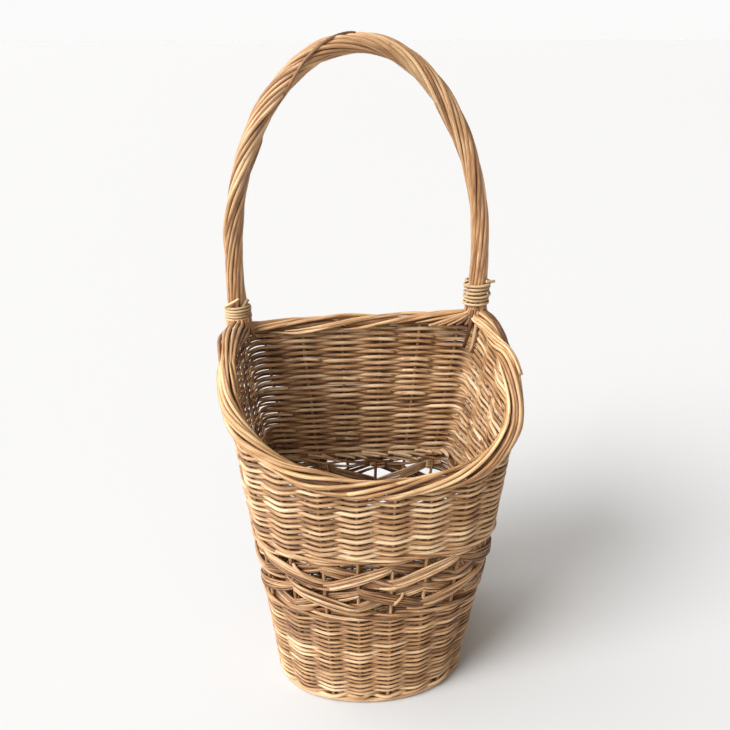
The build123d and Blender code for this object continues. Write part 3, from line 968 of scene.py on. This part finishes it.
def add_fan(rods, leg_x, leg_bay):
    """Rods that lean out of the foot and lie down over the back border, side by side."""
    for index in range(FAN_RODS):
        share = index / (FAN_RODS - 1)
        front = LEG_Y - 8.0 - 1.2 * math.sin(math.pi * share)
        start = np.array([leg_x + 7.5 - 13 * share, front, LEG_FOOT + 8])
        knee = start + (-1.5 - 2.5 * share, -0.5, -6)
        bays = leg_bay + np.linspace(0.05 + 0.25 * share, 0.25 + 1.15 * share, 8)
        over = round_border(bays, np.linspace(128, 212 - 10 * share, 8), 10.3)
        path = smooth(np.concatenate([[start, knee], over]), 2)
        places = np.arange(len(path))
        path = smooth(resample(path, places, np.linspace(0, places[-1], FAN_POINTS)), 2)
        rods.add(path, tapered(FAN_POINTS, TAIL_ROD, 0.75 * TAIL_ROD))


def make_feet():
    """Rods that splay from the handle's feet over the border, and rods that go down inside the wall."""
    left = Rods("left_foot_willow", "handle", ["left_tail_rods"])
    right = Rods("right_foot_willow", "handle", ["right_tail_rods"])
    left_bay, right_bay = bay_of_leg(LEFT_X), bay_of_leg(RIGHT_X)
    for around, angle, reach in LEFT_SPLAY:
        add_splayed(left, LEFT_X, left_bay, 1, around, angle, reach)
    for around, angle, reach in RIGHT_SPLAY:
        add_splayed(right, RIGHT_X, right_bay, -1, around, angle, reach)
    # Two pale rods cross from the inside of the right foot to the outside of the rim.
    for shift in (0.0, 17.0):
        start = np.array([RIGHT_X - 5 + shift * 0.3, LEG_Y - 4, LEG_FOOT + 5])
        bays = right_bay - np.linspace(0.25, 3.2, 20)
        along = round_border(bays, np.linspace(176 - shift, 52 - shift, 20), 10.4)
        right.add(smooth(np.concatenate([[start], along]), 2), tapered(21, 1.7, 1.3), 0.78)
    add_fan(right, RIGHT_X, right_bay)
    y, z = LEG_Y - 8, LEG_FOOT + 6
    for index in range(3):
        x = RIGHT_X + 6 - 5 * index
        add_peg(right, (x, y, z), (x - 3 - 2 * index, BACK_Y - 17, z - 54 + 6 * index), TAIL_ROD, 4)
    for index in range(3):
        x = LEFT_X + 1 + 4.4 * index
        add_peg(left, (x, y, z), (x + 2 + 2 * index, BACK_Y - 18, z - 36 + 5 * index), TAIL_ROD, 3)
    left.finish(handle_willow)
    right.finish(handle_willow)


# ---------------------------------------------------------------- floor, light and camera

FLOOR_DARK, FLOOR_LIGHT = (0.538, 0.541, 0.543), (0.552, 0.555, 0.557)
HORIZON = (0.962, 0.962, 0.958)         # matches the lit floor
HORIZON_RANGE = (0.18, 0.28)            # upward part of the direction where the horizon's colour gives way
# Light from all round, from the left to the right: brightest on the left and dim on the right.
SOFT_BOX = (
    (0.0, (3.3, 3.4, 3.5)), (0.36, (1.0, 0.998, 0.99)),
    (0.54, (0.74, 0.65, 0.55)), (0.86, (0.05, 0.025, 0.01)),
)


def add_floor():
    """Wide pale floor with a hint of mottling."""
    bpy.ops.mesh.primitive_circle_add(vertices=96, radius=60.0, fill_type="NGON")
    floor = bpy.context.object
    floor.name = "studio_floor"
    material = bpy.data.materials.new("studio_floor")
    material.use_nodes = True
    tree = material.node_tree
    shader = tree.nodes["Principled BSDF"]
    noise = tree.nodes.new("ShaderNodeTexNoise")
    noise.inputs["Scale"].default_value = 3.0
    colour = colour_ramp(tree, noise.outputs[0], ((0.0, FLOOR_DARK), (1.0, FLOOR_LIGHT)))
    tree.links.new(colour, shader.inputs["Base Color"])
    shader.inputs["Roughness"].default_value = 0.85
    shader.inputs["Specular IOR Level"].default_value = 0.2
    floor.data.materials.append(material)


def add_world():
    """Soft light all round, with a plain pale horizon."""
    world = bpy.data.worlds.new("studio")
    bpy.context.scene.world = world
    world.use_nodes = True
    tree = world.node_tree
    direction = tree.nodes.new("ShaderNodeTexCoord")
    parts = tree.nodes.new("ShaderNodeSeparateXYZ")
    tree.links.new(direction.outputs["Generated"], parts.inputs[0])
    soft_box = colour_ramp(tree, map_range(tree, parts.outputs["X"], (-1.0, 1.0)), SOFT_BOX, "EASE")
    above = map_range(tree, parts.outputs["Z"], HORIZON_RANGE)
    tree.links.new(colour_mix(tree, above, HORIZON, soft_box), tree.nodes["Background"].inputs["Color"])


def add_key_light():
    """Broad sunlight from the front left, above."""
    light = bpy.data.lights.new("key", "SUN")
    light.energy = 4.3
    light.angle = math.radians(35)
    light.color = (0.985, 0.985, 0.99)
    key = bpy.data.objects.new("key", light)
    key.rotation_euler = Vector((1.0, 0.62, -0.85)).to_track_quat("-Z", "Y").to_euler()
    bpy.context.scene.collection.objects.link(key)


def add_camera():
    """Looks down into the mouth from in front, at the height of the handle's top."""
    data = bpy.data.cameras.new("camera")
    data.sensor_width = 36.0
    data.lens = 38.39
    data.clip_start = 0.02
    data.clip_end = 200.0
    camera = bpy.data.objects.new("camera", data)
    camera.location = (-0.051, -0.669, 0.622)
    camera.rotation_euler = (math.radians(66.76), math.radians(0.15), math.radians(-4.19))
    bpy.context.scene.collection.objects.link(camera)
    bpy.context.scene.camera = camera


# ---------------------------------------------------------------- the whole basket

make_stakes()
make_foot()
make_lower_siding()
make_wale("lower_wale_willow", "lower_wale", lower_wale_low[2], lower_wale_high[2])
make_wale("upper_wale_willow", "upper_wale", upper_wale_low[2], upper_wale_high[2])
make_openwork()
make_upper_siding()
make_base()
make_border()
make_handle()
make_bindings()
make_feet()
add_floor()
add_world()
add_key_light()
add_camera()
bpy.context.scene.view_settings.view_transform = "Standard"
